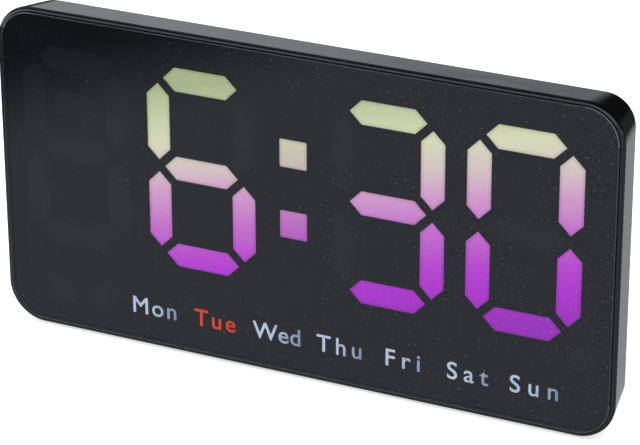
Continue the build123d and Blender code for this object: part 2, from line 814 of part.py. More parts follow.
# Rear cover: a plate on the bosses, with the leg's pocket, the cap's seat and the holes
pocket_floor = body_depth - pocket_depth
pocket_bottom = hinge_height - barrel_radius - pocket_foot_gap - body_middle
pocket_top = hinge_height + leg_length + pocket_end_gap - body_middle
pocket_height = pocket_top - pocket_bottom
pocket_middle = (pocket_top + pocket_bottom) / 2
prop_shares = [(-0.43, 0.11), (0.43, 0.11), (-0.25, -0.35), (0.25, -0.35)]
with BuildPart() as rear_cover:
    drafted(cover_front, body_depth, wall + cover_gap)
    with BuildSketch(at_depth(cover_front)):
        with Locations((0, pocket_middle)):
            Rectangle(pocket_width + 2 * pocket_wall, pocket_height + 2 * pocket_wall)
    extrude(amount=cover_front - pocket_floor + pocket_wall)
    with BuildSketch(at_depth(cover_front)):
        ear_middle = pocket_width / 2 + ear_width / 2
        with Locations(*[(side * ear_middle, hinge_height - body_middle) for side in (-1, 1)]):
            Rectangle(ear_width, 2 * ear_half_height)
    extrude(amount=cover_front - pocket_floor + pocket_wall)
    drafted(0, body_depth, wall + cover_gap, mode=Mode.INTERSECT)
    with BuildSketch(at_depth(body_depth)):
        with Locations((0, pocket_middle)):
            Rectangle(pocket_width, pocket_height)
    extrude(amount=pocket_depth, mode=Mode.SUBTRACT)
    with BuildSketch(hinge_plane):
        Circle(pin_radius + pin_play)
    extrude(amount=pocket_width / 2 + ear_width, both=True, mode=Mode.SUBTRACT)
    with BuildSketch(at_depth(cover_front)):
        with Locations(*[on_board(shares) for shares in prop_shares]):
            Circle(prop_radius)
    extrude(amount=cover_front - board_back - prop_gap)
    with BuildSketch(at_depth(body_depth)):
        with Locations(*button_places):
            Circle(button_radius + button_side_gap)
        with Locations(on_board(buzzer_shares)):
            Circle(sound_hole_radius)
            with PolarLocations(sound_hole_ring, sound_hole_count):
                Circle(sound_hole_radius)
        keyhole_x, keyhole_z = body_width / 2 - keyhole_side_inset, body_height / 2 - keyhole_drop
        with Locations((-keyhole_x, keyhole_z), (keyhole_x, keyhole_z)):
            Circle(keyhole_radius)
            with Locations((0, keyhole_length / 2)):
                SlotOverall(
                    keyhole_length + 2 * keyhole_slot_radius, 2 * keyhole_slot_radius, rotation=90
                )
        with Locations(cell_place):
            Circle(cap_radius + cap_gap)
            with PolarLocations(lug_radius - cap_lug_reach / 2, lug_count, start_angle=-cap_turn):
                Rectangle(2 * (cap_lug_reach + notch_play), cap_lug_width + 2 * notch_play)
    extrude(amount=cover_wall, mode=Mode.SUBTRACT)
    with BuildSketch(at_depth(body_depth)):
        with Locations(cell_place):
            Circle(cap_face_radius + cap_gap)
    extrude(amount=cap_face, mode=Mode.SUBTRACT)
    rear_face = Plane(
        origin=(0, body_depth - half_depth, body_middle), x_dir=(-1, 0, 0), z_dir=(0, 1, 0)
    )
    with Locations(rear_face):
        with Locations(*[(-x, z) for x, z in boss_places]):
            CounterSinkHole(
                cover_screw_radius + screw_play, cover_screw_head + screw_play, depth=cover_wall
            )
save(rear_cover, "rear_cover")

with BuildPart() as cover_screws:
    head_height = cover_screw_head - cover_screw_radius
    with BuildSketch(at_depth(body_depth)):
        with Locations(*boss_places):
            Circle(cover_screw_radius)
    extrude(amount=cover_screw_length)
    with BuildSketch(at_depth(body_depth)):
        with Locations(*boss_places):
            Circle(cover_screw_head)
    extrude(amount=head_height, taper=45)
    with BuildSketch(at_depth(body_depth)):
        with Locations(*boss_places):
            Rectangle(cover_screw_head, drive_slot[0])
            Rectangle(drive_slot[0], cover_screw_head)
    extrude(amount=drive_slot[1], mode=Mode.SUBTRACT)
save(cover_screws, "cover_screws")

label_left = -body_width / 2 + label_side_inset
label_right = -pocket_width / 2 - label_pocket_gap
with BuildPart() as rear_label:
    with BuildSketch(at_depth(body_depth + label_thickness)):
        with Locations(((label_left + label_right) / 2, table_gap + socket_rise - body_middle)):
            RectangleRounded(label_right - label_left, label_height, label_corner)
    extrude(amount=label_thickness)
save(rear_label, "rear_label")
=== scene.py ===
import bmesh
import bpy
import json
from math import cos, radians, sin
from mathutils import Matrix, Quaternion, Vector


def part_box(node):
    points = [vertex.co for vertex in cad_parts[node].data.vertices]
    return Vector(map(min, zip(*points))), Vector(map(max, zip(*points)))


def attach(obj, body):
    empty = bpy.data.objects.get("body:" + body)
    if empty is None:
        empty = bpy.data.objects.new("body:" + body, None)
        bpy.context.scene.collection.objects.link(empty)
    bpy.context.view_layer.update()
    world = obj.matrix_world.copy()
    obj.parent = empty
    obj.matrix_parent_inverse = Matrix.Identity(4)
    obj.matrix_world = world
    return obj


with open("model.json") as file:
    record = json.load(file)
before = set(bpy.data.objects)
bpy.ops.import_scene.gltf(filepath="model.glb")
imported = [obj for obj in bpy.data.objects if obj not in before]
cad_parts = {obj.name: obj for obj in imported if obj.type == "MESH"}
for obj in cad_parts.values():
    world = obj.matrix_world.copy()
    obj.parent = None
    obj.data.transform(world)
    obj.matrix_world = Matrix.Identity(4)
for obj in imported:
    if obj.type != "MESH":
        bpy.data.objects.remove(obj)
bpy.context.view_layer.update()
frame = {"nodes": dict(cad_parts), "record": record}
nodes = frame["nodes"]
mm = 0.001
print("frame loaded with", len(nodes), "pieces")


# Small helpers for colours and nodes
def tone(red, green, blue):
    # A screen colour, 0 to 255, as the linear colour that Blender uses
    def linear(level):
        share = level / 255
        return share / 12.92 if share <= 0.04045 else ((share + 0.055) / 1.055) ** 2.4
    return (linear(red), linear(green), linear(blue), 1)


def newMaterial(name):
    material = bpy.data.materials.new(name)
    material.use_nodes = True
    return material, material.node_tree, material.node_tree.nodes["Principled BSDF"]


def addNode(tree, kind, **settings):
    node = tree.nodes.new(kind)
    for key, value in settings.items():
        setattr(node, key, value)
    return node


def setSockets(node, values):
    for label, value in values.items():
        node.inputs[label].default_value = value


def feed(tree, socket, value):
    # A socket takes another node's output or a fixed value
    if hasattr(value, "is_output"):
        tree.links.new(value, socket)
    else:
        socket.default_value = value


def calc(tree, operation, first, second=0, clamp=False):
    node = addNode(tree, "ShaderNodeMath", operation=operation, use_clamp=clamp)
    feed(tree, node.inputs[0], first)
    feed(tree, node.inputs[1], second)
    return node.outputs[0]


def multiply(tree, product, *factors):
    for factor in factors:
        product = calc(tree, "MULTIPLY", product, factor)
    return product


def smoothStep(tree, value, start, end, low=0, high=1, kind="SMOOTHSTEP"):
    node = addNode(tree, "ShaderNodeMapRange", interpolation_type=kind)
    tree.links.new(value, node.inputs["Value"])
    setSockets(node, {"From Min": start, "From Max": end, "To Min": low, "To Max": high})
    return node.outputs["Result"]


def linearStep(tree, value, start, end):
    return smoothStep(tree, value, start, end, kind="LINEAR")


def mixColours(tree, share, first, second, **settings):
    node = addNode(tree, "ShaderNodeMix", data_type="RGBA", **settings)
    feed(tree, node.inputs["Factor"], share)
    feed(tree, node.inputs[6], first)
    feed(tree, node.inputs[7], second)
    return node.outputs[2]


def objectPoint(tree):
    return addNode(tree, "ShaderNodeTexCoord").outputs["Object"]


def objectAxes(tree):
    parts = addNode(tree, "ShaderNodeSeparateXYZ")
    tree.links.new(objectPoint(tree), parts.inputs[0])
    return parts.outputs


def addNoise(tree, point, scale, detail=2, distortion=0):
    node = addNode(tree, "ShaderNodeTexNoise")
    tree.links.new(point, node.inputs["Vector"])
    feed(tree, node.inputs["Scale"], scale)
    setSockets(node, {"Detail": detail, "Distortion": distortion})
    return node.outputs[0]


def newGroup(name, numbers, outputs):
    group = bpy.data.node_groups.new(name, "ShaderNodeTree")
    sockets = group.interface
    for label, value in numbers.items():
        socket = sockets.new_socket(label, in_out="INPUT", socket_type="NodeSocketFloat")
        socket.default_value = value
    for label in outputs:
        sockets.new_socket(label, in_out="OUTPUT", socket_type="NodeSocketFloat")
    given = group.nodes.new("NodeGroupInput").outputs
    return group, given, group.nodes.new("NodeGroupOutput").inputs


def useGroup(tree, group, **values):
    node = addNode(tree, "ShaderNodeGroup", node_tree=group)
    for label, value in values.items():
        feed(tree, node.inputs[label], value)
    return node.outputs


def addBump(tree, shader, height, distance):
    bump = addNode(tree, "ShaderNodeBump")
    setSockets(bump, {"Strength": 1, "Distance": distance})
    tree.links.new(height, bump.inputs["Height"])
    tree.links.new(bump.outputs["Normal"], shader.inputs["Normal"])


# Camera: right of the clock and above it, at the photo's angle, with a long lens
cameraView = {
    "aim": Vector((6.1, -6.7, 44.5)) * mm,
    "azimuth": radians(25.84),
    "elevation": radians(23.96),
    "roll": radians(-0.2),
    "distance": 740.6 * mm,
    "lens": 168.75,
    "sensorWidth": 36,
    "clipStart": 0.01,
}


def makeCamera(view):
    flat = cos(view["elevation"])
    towards = Vector((
        sin(view["azimuth"]) * flat, -cos(view["azimuth"]) * flat, sin(view["elevation"])
    ))
    data = bpy.data.cameras.new("camera")
    data.lens = view["lens"]
    data.sensor_width = view["sensorWidth"]
    data.clip_start = view["clipStart"]
    camera = bpy.data.objects.new("camera", data)
    bpy.context.scene.collection.objects.link(camera)
    camera.rotation_mode = "QUATERNION"
    camera.location = view["aim"] + towards * view["distance"]
    turn = Quaternion((0, 0, 1), view["roll"])
    camera.rotation_quaternion = (-towards).to_track_quat("-Z", "Y") @ turn
    bpy.context.scene.camera = camera


makeCamera(cameraView)
print("camera set")


# Studio: pale floor, white surround, three soft lamps
studio = {
    "floorSize": 4.0,  # from the middle to each side
    "floorColour": tone(228, 228, 228),
    "floorRoughness": 0.7,
    "floorShine": 0.2,
    "floorLift": 0.6,  # added for camera rays, so that the open floor is white
    "ambient": 0.55,
}
# What gloss sees of the floor and of the surround, as the black plastic and the lens show it
floorGloss = {
    "colour": (0.95, 0.975, 1.05, 1),
    "level": 0.6,
    "edge": (170 * mm, 254 * mm),  # the light falls off between these distances
    "edgeTurn": radians(211.7),  # towards the front left
    "edgeLevel": 0.23,
    "far": (400 * mm, 650 * mm),  # and rises again beyond, towards the front panel's light
    # A little less light comes from behind the clock, and hardly any from far behind
    "rearFades": ((10 * mm, 40 * mm, 1, 0.84), (190 * mm, 300 * mm, 1, 0.12)),
    "left": (-150 * mm, -100 * mm),  # and little from behind on the left
    "leftBehind": (-10 * mm, 15 * mm),
    "leftLoss": 0.7,
    "contact": (9 * mm, 11.5 * mm),  # it is darker right under the clock
    "contactLevel": 0.62,
}
surroundGloss = {
    # The ranges are parts of a ray's direction along X, Y or Z, from -1 to 1
    "backdrop": 0.62,
    "backdropSides": (-0.5, -0.1, 1, 0.02),  # pale on the left and dark on the right
    "backdropFront": (-0.1, 0.25, 0.08, 1),  # and dark in front
    "panel": 2.0,  # a light panel stands low in front
    "panelTop": (0.12, 0.22),
    "panelSide": (-0.35, 0.0),
    "fill": 0.45,  # and a weaker one higher up on the right
    "fillSides": (0.0, 0.3),
    "fillTop": (0.5, 0.7),
}
lamps = {
    "lampLeft": {"place": (-1.3, -0.5, 1.2), "size": 0.9, "power": 12},
    "lampRight": {"place": (1.2, -1.0, 1.3), "size": 0.8, "power": 10},
    "lampBack": {"place": (0.2, 1.4, 1.1), "size": 1.0, "power": 12},
}


def floorLight(tree):
    # The strength that glossy rays find on the floor, by place
    axes = objectAxes(tree)
    turn = floorGloss["edgeTurn"]
    along = calc(
        tree, "ADD", multiply(tree, axes["X"], cos(turn)), multiply(tree, axes["Y"], sin(turn))
    )
    level = smoothStep(tree, along, *floorGloss["edge"], 1, floorGloss["edgeLevel"])
    fades = [smoothStep(tree, axes["Y"], *fade) for fade in floorGloss["rearFades"]]
    left = smoothStep(tree, axes["X"], *floorGloss["left"], 1, 0)
    behind = smoothStep(tree, axes["Y"], *floorGloss["leftBehind"], 0, floorGloss["leftLoss"])
    kept = calc(tree, "SUBTRACT", 1, multiply(tree, left, behind))
    offset = calc(tree, "ABSOLUTE", axes["Y"])
    under = smoothStep(tree, offset, *floorGloss["contact"], floorGloss["contactLevel"], 1)
    near = multiply(tree, level, floorGloss["level"], *fades, kept, under)
    far = smoothStep(tree, along, *floorGloss["far"], 0, surroundGloss["panel"])
    return calc(tree, "MAXIMUM", near, far)


def makeFloor():
    mesh = bpy.data.meshes.new("floor")
    bm = bmesh.new()
    bmesh.ops.create_grid(bm, x_segments=1, y_segments=1, size=studio["floorSize"])
    bm.to_mesh(mesh)
    bm.free()
    floor = bpy.data.objects.new("floor", mesh)
    bpy.context.scene.collection.objects.link(floor)
    material, tree, shader = newMaterial("paleFloor")
    setSockets(shader, {
        "Base Color": studio["floorColour"],
        "Roughness": studio["floorRoughness"],
        "Specular IOR Level": studio["floorShine"],
    })
    rays = addNode(tree, "ShaderNodeLightPath").outputs
    lift = addNode(tree, "ShaderNodeEmission")
    lifted = multiply(tree, rays["Is Camera Ray"], studio["floorLift"])
    tree.links.new(lifted, lift.inputs["Strength"])
    added = addNode(tree, "ShaderNodeAddShader")
    tree.links.new(shader.outputs[0], added.inputs[0])
    tree.links.new(lift.outputs[0], added.inputs[1])
    gloss = addNode(tree, "ShaderNodeEmission")
    setSockets(gloss, {"Color": floorGloss["colour"]})
    tree.links.new(floorLight(tree), gloss.inputs["Strength"])
    shown = addNode(tree, "ShaderNodeMixShader")
    tree.links.new(rays["Is Glossy Ray"], shown.inputs[0])
    tree.links.new(added.outputs[0], shown.inputs[1])
    tree.links.new(gloss.outputs[0], shown.inputs[2])
    tree.links.new(shown.outputs[0], tree.nodes["Material Output"].inputs["Surface"])
    mesh.materials.append(material)


def makeSurround():
    world = bpy.data.worlds.new("surround")
    world.use_nodes = True
    bpy.context.scene.world = world
    tree = world.node_tree
    background = tree.nodes["Background"]
    rays = addNode(tree, "ShaderNodeLightPath").outputs
    split = addNode(tree, "ShaderNodeSeparateXYZ")
    tree.links.new(addNode(tree, "ShaderNodeTexCoord").outputs["Generated"], split.inputs[0])
    axes = split.outputs
    sides = smoothStep(tree, axes["X"], *surroundGloss["backdropSides"])
    front = smoothStep(tree, axes["Y"], *surroundGloss["backdropFront"])
    backdrop = multiply(tree, sides, front, surroundGloss["backdrop"])
    below = smoothStep(tree, axes["Z"], *surroundGloss["panelTop"], 1, 0)
    ahead = smoothStep(tree, axes["Y"], *surroundGloss["panelSide"], 1, 0)
    panel = multiply(tree, below, ahead, surroundGloss["panel"])
    right = smoothStep(tree, axes["X"], *surroundGloss["fillSides"])
    under = smoothStep(tree, axes["Z"], *surroundGloss["fillTop"], surroundGloss["fill"], 0)
    fill = multiply(tree, right, ahead, under)
    graded = calc(tree, "MAXIMUM", backdrop, calc(tree, "MAXIMUM", panel, fill))
    # White for the camera and through glass, graded for gloss, plain for all other light
    seen = calc(tree, "MAXIMUM", rays["Is Camera Ray"], rays["Is Transmission Ray"])
    unseen = calc(tree, "SUBTRACT", 1, seen)
    glossy = multiply(tree, rays["Is Glossy Ray"], unseen)
    rest = calc(tree, "SUBTRACT", unseen, glossy)
    others = calc(
        tree, "ADD", multiply(tree, glossy, graded), multiply(tree, rest, studio["ambient"])
    )
    colour = mixColours(tree, glossy, (1, 1, 1, 1), floorGloss["colour"])
    tree.links.new(colour, background.inputs["Color"])
    tree.links.new(calc(tree, "ADD", seen, others), background.inputs["Strength"])


def makeLamp(name, lamp):
    data = bpy.data.lights.new(name, "AREA")
    data.shape = "SQUARE"
    data.size = lamp["size"]
    data.energy = lamp["power"]
    holder = bpy.data.objects.new(name, data)
    bpy.context.scene.collection.objects.link(holder)
    holder.location = lamp["place"]
    holder.rotation_euler = Vector(lamp["place"]).to_track_quat("Z", "Y").to_euler()
    holder.visible_glossy = False


makeFloor()
makeSurround()
for name, lamp in lamps.items():
    makeLamp(name, lamp)
bpy.context.scene.view_settings.view_transform = "Standard"
print("studio lit")


# Shared effects: moulded grain, specks of dust, smudges
grainPattern = {"detail": 3, "broadScale": 60}
speckPattern = {
    "slants": {"X": 0.5, "Z": 0.8},  # depth shifts the flat pattern, so it lies on any face
    "smallest": 0.5,  # of the size asked for, and the largest is 1 more
    "faintest": 0.3,
    "cloudScale": 45,
    "cloudRange": (0.35, 0.65, 0.4, 1.6),  # fewer specks between clusters, more in them
}
smudgePattern = {"detail": 4, "distortion": 1.2, "range": (0.45, 0.75)}


def makeGrain():
    group, inputs, outputs = newGroup("mouldGrain", {"Scale": 4000}, ("Height", "Tone"))
    fine = addNoise(group, objectPoint(group), inputs["Scale"], grainPattern["detail"])
    broad = addNoise(group, objectPoint(group), grainPattern["broadScale"])
    group.links.new(fine, outputs["Height"])
    group.links.new(broad, outputs["Tone"])
    return group


def makeSpecks():
    # Sparse round specks: small spots round some of the cells' middles, in loose clusters
    numbers = {"Scale": 300, "Size": 0.08, "Share": 0.3}
    group, inputs, outputs = newGroup("dustSpecks", numbers, ("Mask",))
    axes = objectAxes(group)
    flat = addNode(group, "ShaderNodeCombineXYZ")
    for target, (axis, slant) in zip(flat.inputs, speckPattern["slants"].items()):
        shift = multiply(group, axes["Y"], slant)
        group.links.new(calc(group, "ADD", axes[axis], shift), target)
    cells = addNode(group, "ShaderNodeTexVoronoi", voronoi_dimensions="2D")
    group.links.new(flat.outputs[0], cells.inputs["Vector"])
    group.links.new(inputs["Scale"], cells.inputs["Scale"])
    parts = addNode(group, "ShaderNodeSeparateColor")
    group.links.new(cells.outputs["Color"], parts.inputs[0])
    draw = parts.outputs  # three random numbers for each cell
    grown = calc(group, "ADD", draw["Green"], speckPattern["smallest"])
    size = multiply(group, inputs["Size"], grown)
    near = calc(group, "LESS_THAN", cells.outputs["Distance"], size)
    cloud = addNoise(group, flat.outputs[0], speckPattern["cloudScale"])
    dense = smoothStep(group, cloud, *speckPattern["cloudRange"])
    share = multiply(group, inputs["Share"], dense)
    kept = calc(group, "LESS_THAN", draw["Red"], share)
    faintest = speckPattern["faintest"]
    pale = calc(group, "ADD", multiply(group, draw["Blue"], 1 - faintest), faintest)
    group.links.new(multiply(group, near, kept, pale), outputs["Mask"])
    return group


def makeSmudge():
    group, inputs, outputs = newGroup("smudge", {"Scale": 25}, ("Mask",))
    cloud = addNoise(
        group, objectPoint(group), inputs["Scale"], smudgePattern["detail"],
        smudgePattern["distortion"],
    )
    group.links.new(smoothStep(group, cloud, *smudgePattern["range"]), outputs["Mask"])
    return group


grain, specks, smudge = makeGrain(), makeSpecks(), makeSmudge()

# Wear that all plastics share
plasticWear = {
    "smudgeScale": 30,
    "dustScale": 430,
    "dustSize": 0.045,
    "dustColour": tone(120, 120, 120),
}


def dusty(tree, colour, amount):
    # A colour with specks of dust on it
    spots = useGroup(
        tree, specks, Scale=plasticWear["dustScale"], Size=plasticWear["dustSize"], Share=amount
    )["Mask"]
    return mixColours(tree, spots, colour, plasticWear["dustColour"])


def plastic(name, dark, pale, roughness, grainScale=3000, grainDepth=0.01 * mm, dust=0.0):
    # Moulded plastic: two near colours, uneven gloss, fine grain and a little dust
    material, tree, shader = newMaterial(name)
    grained = useGroup(tree, grain, Scale=grainScale)
    marks = useGroup(tree, smudge, Scale=plasticWear["smudgeScale"])["Mask"]
    colour = mixColours(tree, grained["Tone"], dark, pale)
    if dust:
        colour = dusty(tree, colour, dust)
    tree.links.new(colour, shader.inputs["Base Color"])
    tree.links.new(smoothStep(tree, marks, 0, 1, *roughness), shader.inputs["Roughness"])
    addBump(tree, shader, grained["Height"], grainDepth)
    return material


# Housing: glossy sides and a satin rim, told apart by their depth
housingFinish = {
    "dark": tone(6, 6, 7),
    "pale": tone(9, 9, 10),
    "roughness": (0.08, 0.16),
    "rimColour": tone(20, 20, 23),
    "rimRoughness": 0.14,
    "rimDepth": (0.11 * mm, 0.17 * mm),  # behind the rim's front
    "edgeDepth": (0.12 * mm, 0.3 * mm),  # the rim is rounded off towards its outer edge
    "edgeDrop": 0.36 * mm,
    "grainScale": 3000,
    "grainDepth": 0.01 * mm,
    "dust": 0.06,
}


def housingPlastic():
    material, tree, shader = newMaterial("housingBlack")
    grained = useGroup(tree, grain, Scale=housingFinish["grainScale"])
    marks = useGroup(tree, smudge, Scale=plasticWear["smudgeScale"])["Mask"]
    depth = objectAxes(tree)["Y"]
    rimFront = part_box("front_frame")[0].y
    rimStart, rimEnd = (rimFront + place for place in housingFinish["rimDepth"])
    rim = smoothStep(tree, depth, rimStart, rimEnd, 1, 0)
    side = mixColours(tree, grained["Tone"], housingFinish["dark"], housingFinish["pale"])
    colour = mixColours(tree, rim, side, housingFinish["rimColour"])
    dusted = dusty(tree, colour, housingFinish["dust"])
    tree.links.new(dusted, shader.inputs["Base Color"])
    gloss = smoothStep(tree, marks, 0, 1, *housingFinish["roughness"])
    satin = multiply(tree, rim, housingFinish["rimRoughness"])
    tree.links.new(calc(tree, "MAXIMUM", gloss, satin), shader.inputs["Roughness"])
    # The rounding falls with the square of the way across the rim's outer part
    edgeStart, edgeEnd = (rimFront + place for place in housingFinish["edgeDepth"])
    across = linearStep(tree, depth, edgeStart, edgeEnd)
    steps = housingFinish["edgeDrop"] / housingFinish["grainDepth"]
    height = calc(tree, "SUBTRACT", grained["Height"], multiply(tree, across, across, steps))
    addBump(tree, shader, height, housingFinish["grainDepth"])
    return material


metalLines = {"detail": 4, "range": (0.3, 0.7), "depth": 0.004 * mm}


def metal(name, dark, pale, roughness, stretch=(1, 1, 1), scale=900):
    # Plated or rolled metal, with fine lines where it is stretched
    material, tree, shader = newMaterial(name)
    place = addNode(tree, "ShaderNodeMapping")
    tree.links.new(objectPoint(tree), place.inputs["Vector"])
    setSockets(place, {"Scale": stretch})
    setSockets(shader, {"Metallic": 1})
    lines = addNoise(tree, place.outputs[0], scale, metalLines["detail"])
    tree.links.new(mixColours(tree, lines, dark, pale), shader.inputs["Base Color"])
    rough = smoothStep(tree, lines, *metalLines["range"], *roughness)
    tree.links.new(rough, shader.inputs["Roughness"])
    addBump(tree, shader, lines, metalLines["depth"])
    return material


lensFinish = {
    "tint": tone(172, 172, 176),
    "ior": 1.47,
    "specularTint": (0.86, 0.92, 1, 1),
    "roughness": (0.02, 0.05),
    "smudgeScale": 18,
    "dustScale": 640,
    "dustSize": 0.053,
    # the specks' colour is sent out as emission: real dust with painted light, glowing instead of
    # lit
    "dustColour": tone(123, 125, 129),
    "dustShade": tone(90, 90, 92),  # the tint under a speck
    "dustDepth": (0.3 * mm, 0.4 * mm),  # dust lies on the front face only
    "dustSides": (-70 * mm, 60 * mm),  # and mostly on the right
    "dustShare": (0.14, 0.72),
}


def smokedLens():
    material, tree, shader = newMaterial("smokedLens")
    setSockets(shader, {
        "Transmission Weight": 1,
        "IOR": lensFinish["ior"],
        "Specular Tint": lensFinish["specularTint"],
        "Emission Strength": 1,
    })
    marks = useGroup(tree, smudge, Scale=lensFinish["smudgeScale"])["Mask"]
    rough = smoothStep(tree, marks, 0, 1, *lensFinish["roughness"])
    tree.links.new(rough, shader.inputs["Roughness"])
    axes = objectAxes(tree)
    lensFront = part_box("lens_panel")[0].y
    start, end = (lensFront + place for place in lensFinish["dustDepth"])
    front = smoothStep(tree, axes["Y"], start, end, 1, 0)
    share = smoothStep(tree, axes["X"], *lensFinish["dustSides"], *lensFinish["dustShare"])
    settled = useGroup(
        tree, specks, Scale=lensFinish["dustScale"], Size=lensFinish["dustSize"], Share=share
    )["Mask"]
    spots = multiply(tree, settled, front)
    tint = mixColours(tree, spots, lensFinish["tint"], lensFinish["dustShade"])
    tree.links.new(tint, shader.inputs["Base Color"])
    # Painted light: the dust specks on the front glow in their own colour as emission
    dust = mixColours(tree, spots, (0, 0, 0, 1), lensFinish["dustColour"])
    tree.links.new(dust, shader.inputs["Emission Color"])
    return material


inkFinish = {
    "smudgeScale": 40,
    "thickShare": 0.7,  # how bright the thicker ink is
    # the colour of the painted glow that lets the unlit segments show
    "unlitGlowTint": tone(215, 215, 235),
}


def printedFilm(name, colour, roughness=0.6, shine=0.1, faint=0.0):
    # Black print behind the lens, with the unevenness of ink, and a faint painted glow where faint
    # is set
    material, tree, shader = newMaterial(name)
    cloud = useGroup(tree, smudge, Scale=inkFinish["smudgeScale"])["Mask"]
    darker = tuple(level * inkFinish["thickShare"] for level in colour[:3]) + (1,)
    tree.links.new(mixColours(tree, cloud, colour, darker), shader.inputs["Base Color"])
    setSockets(shader, {"Roughness": roughness, "Specular IOR Level": shine})
    # Painted light: a faint emission stands in for light falling on the unlit segments
    if faint:
        setSockets(shader, {"Emission Color": inkFinish["unlitGlowTint"], "Emission Strength": faint})
    return material


# Display light: green at the top left, through beige and pink to purple at the bottom right
glowFinish = {
    "tilt": 0.176,  # lines of one colour rise this steeply to the right
    "start": -80.5 * mm,
    "end": -16.5 * mm,
    "strength": 2.58,
    "roughness": 0.7,
    "stops": {
        0.0: tone(164, 178, 131),
        0.15: tone(194, 205, 162),
        0.245: tone(211, 213, 178),
        0.37: tone(208, 189, 189),
        0.46: tone(206, 154, 195),
        0.6: tone(192, 107, 195),
        0.75: tone(178, 60, 199),
        0.86: tone(168, 38, 196),
        1.0: tone(146, 32, 178),
    },
}


def segmentGlow():
    material, tree, shader = newMaterial("segmentGlow")
    axes = objectAxes(tree)
    along = calc(tree, "SUBTRACT", multiply(tree, axes["X"], glowFinish["tilt"]), axes["Z"])
    ramp = addNode(tree, "ShaderNodeValToRGB")
    place = linearStep(tree, along, glowFinish["start"], glowFinish["end"])
    tree.links.new(place, ramp.inputs[0])
    stops = ramp.color_ramp.elements
    for position, colour in glowFinish["stops"].items():
        ends = {0.0: stops[0], 1.0: stops[-1]}
        stop = ends[position] if position in ends else stops.new(position)
        stop.color = colour
    light = addNode(tree, "ShaderNodeAttribute", attribute_name="lightLevel").outputs["Fac"]
    dimmed = mixColours(tree, 1, ramp.outputs[0], light, blend_type="MULTIPLY")
    tree.links.new(dimmed, shader.inputs["Emission Color"])
    setSockets(shader, {
        "Emission Strength": glowFinish["strength"],
        "Base Color": (0, 0, 0, 1),
        "Roughness": glowFinish["roughness"],
        "Specular IOR Level": 0,
    })
    return material


wordFinish = {"smudgeScale": 260, "smudgeLoss": 0.25, "roughness": 0.7}


def wordGlow(name, dim, bright, strength):
    # The vertices' light level runs from the dim end of a word to its bright one
    material, tree, shader = newMaterial(name)
    light = addNode(tree, "ShaderNodeAttribute", attribute_name="lightLevel").outputs["Fac"]
    cloud = useGroup(tree, smudge, Scale=wordFinish["smudgeScale"])["Mask"]
    loss = multiply(tree, cloud, wordFinish["smudgeLoss"])
    level = calc(tree, "SUBTRACT", light, loss, clamp=True)
    tree.links.new(mixColours(tree, level, dim, bright), shader.inputs["Emission Color"])
    setSockets(shader, {
        "Emission Strength": strength,
        "Base Color": (0, 0, 0, 1),
        "Roughness": wordFinish["roughness"],
    })
    return material


housingBlack = housingPlastic()
coverBlack = plastic(
    "coverBlack", tone(30, 30, 32), tone(37, 37, 39), (0.5, 0.62), grainScale=1800,
    grainDepth=0.06 * mm, dust=0.05,
)
legBlack = plastic(
    "legBlack", tone(24, 24, 26), tone(30, 30, 32), (0.3, 0.42), grainScale=2200, dust=0.05
)
buttonBlack = plastic("buttonBlack", tone(38, 38, 40), tone(45, 45, 47), (0.35, 0.45))
symbolPrint = plastic("symbolPrint", tone(156, 158, 161), tone(170, 172, 175), (0.5, 0.6))
rubberBlack = plastic(
    "rubberBlack", tone(27, 27, 27), tone(35, 35, 35), (0.75, 0.9), grainScale=2500,
    grainDepth=0.05 * mm,
)
tapeBlack = plastic("tapeBlack", tone(22, 22, 22), tone(28, 28, 28), (0.6, 0.8))
reflectorWhite = plastic(
    "reflectorWhite", tone(226, 226, 222), tone(236, 236, 233), (0.4, 0.5)
)
guideMilk = plastic("guideMilk", tone(222, 222, 214), tone(235, 235, 228), (0.3, 0.45))
diffuserMilk = plastic("diffuserMilk", tone(232, 232, 230), tone(240, 240, 238), (0.5, 0.6))
chipBlack = plastic(
    "chipBlack", tone(34, 34, 34), tone(44, 44, 44), (0.5, 0.6), grainScale=5000
)
plungerRed = plastic("plungerRed", tone(150, 40, 32), tone(164, 50, 40), (0.4, 0.5))
ceramicBrown = plastic("ceramicBrown", tone(128, 102, 76), tone(150, 124, 96), (0.35, 0.5))
ledClear = plastic("ledClear", tone(236, 230, 180), tone(246, 242, 205), (0.15, 0.25))
boardGreen = plastic("boardGreen", tone(16, 74, 46), tone(22, 88, 56), (0.25, 0.35))
labelFoil = plastic("labelFoil", tone(150, 152, 155), tone(164, 166, 169), (0.35, 0.45))
steelBright = metal("steelBright", tone(160, 160, 162), tone(196, 196, 198), (0.22, 0.34))
steelDark = metal("steelDark", tone(92, 92, 94), tone(122, 122, 124), (0.3, 0.42))
cellSteel = metal(
    "cellSteel", tone(176, 176, 178), tone(206, 206, 208), (0.2, 0.3), stretch=(1, 1, 12)
)
lensMaterial = smokedLens()
groundEdge = plastic(
    "groundEdge", tone(88, 90, 94), tone(140, 142, 146), (0.3, 0.45), grainScale=900,
    grainDepth=0.03 * mm, dust=0.5,
)
maskInk = printedFilm("maskInk", tone(9, 9, 10))
borderInk = printedFilm("borderInk", tone(9, 9, 10), roughness=0.04, shine=0.45)
# The unlit film glows faintly: painted light for the ghost segments
filmUnlit = printedFilm("filmUnlit", tone(14, 14, 16), faint=0.014)
glowMaterial = segmentGlow()
wordPale = wordGlow("wordPale", tone(104, 118, 142), tone(182, 197, 218), 2.45)
wordRed = wordGlow("wordRed", tone(224, 50, 0), tone(242, 66, 0), 1.85)

